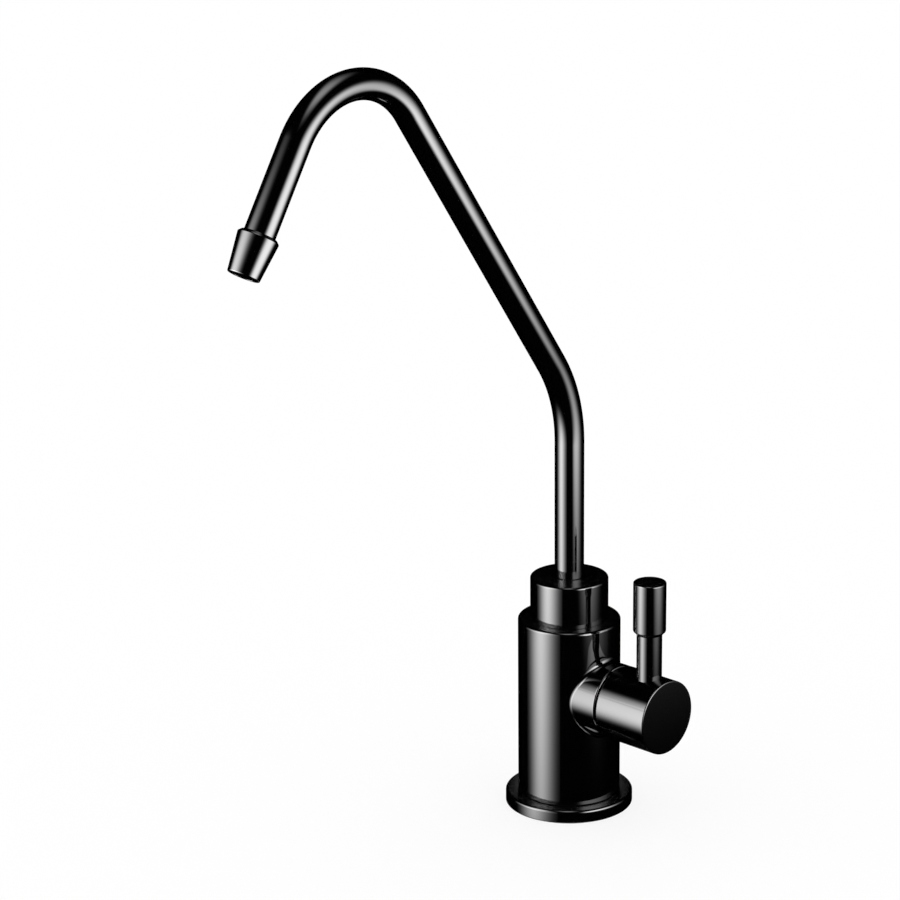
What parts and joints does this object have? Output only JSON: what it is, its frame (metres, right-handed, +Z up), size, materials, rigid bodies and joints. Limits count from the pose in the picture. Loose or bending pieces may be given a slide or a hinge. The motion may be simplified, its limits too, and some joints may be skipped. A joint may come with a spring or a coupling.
{
  "type": "drinking water filter tap",
  "caption": "Black worktop tap for filtered drinking water, with a bent swivelling spout, a tapered nozzle, a quarter-turn side lever and a threaded shank.",
  "frame": {"origin": "centre of the base on the worktop's surface", "axes": "+Z up, the spout reaches along -Y, the lever axis points along +X; the shank goes down through the worktop"},
  "size_m": [0.0661, 0.1707, 0.3542],
  "materials": {
    "black_finish": "gloss black over brass",
    "brass": "turned",
    "stainless_steel": "stamped stainless steel",
    "ceramic": "lapped alumina",
    "rubber": "moulded rubber",
    "acetal": "moulded acetal",
    "fitting_plastic": "moulded acetal",
    "silicone": "moulded silicone"
  },
  "bodies": {
    "tap_body": {"valve_body": "black_finish", "base_flange": "black_finish", "base_gasket": "rubber", "threaded_shank": "brass", "spout_collar": "black_finish", "glide_washer": "acetal", "spout_bush": "acetal", "cartridge_housing": "brass", "cartridge_seal": "silicone", "housing_oring": "rubber", "fixed_disc": "ceramic", "inlet_fitting": "fitting_plastic", "inlet_seal": "rubber", "tube_oring": "rubber", "grip_ring": "fitting_plastic"},
    "spout": {"spout_tube": "black_finish", "spout_tail": "brass", "spout_orings": "rubber", "spout_nozzle": "black_finish"},
    "lever": {"lever_hub": "black_finish", "lever_stem": "black_finish", "lever_grip": "black_finish", "grub_screw": "stainless_steel", "spindle": "brass", "spindle_orings": "rubber", "spindle_clip": "stainless_steel", "moving_disc": "ceramic"},
    "collet": {"inlet_collet": "fitting_plastic"},
    "clamp_washers": {"rubber_washer": "rubber", "spacer_ring": "acetal", "star_washer": "stainless_steel"},
    "clamp_nut": {"mounting_nut": "brass"}
  },
  "joints": [
    {"name": "spout_swivel", "type": "hinge", "parent": "tap_body", "child": "spout", "pos_m": [0, 0, 0.0673], "axis": [0, 0, 1], "continuous": true},
    {"name": "lever_turn", "type": "hinge", "parent": "tap_body", "child": "lever", "pos_m": [0.0227, 0, 0.0421], "axis": [1, 0, 0], "range_deg": [0, 90]},
    {"name": "collet_push", "type": "slide", "parent": "tap_body", "child": "collet", "axis": [0, 0, 1], "range_m": [0, 0.0015]},
    {"name": "clamp_slide", "type": "slide", "parent": "tap_body", "child": "clamp_washers", "axis": [0, 0, 1], "range_m": [-0.0066, 0.0295]},
    {"name": "nut_spin", "type": "hinge", "parent": "clamp_washers", "child": "clamp_nut", "pos_m": [0, 0, -0.0388], "axis": [0, 0, 1], "range_deg": [-2200, 10000]}
  ],
  "couplings": [
    {"joint": "clamp_slide", "follows": "nut_spin", "m_per_rad": 0.00016844}
  ]
}
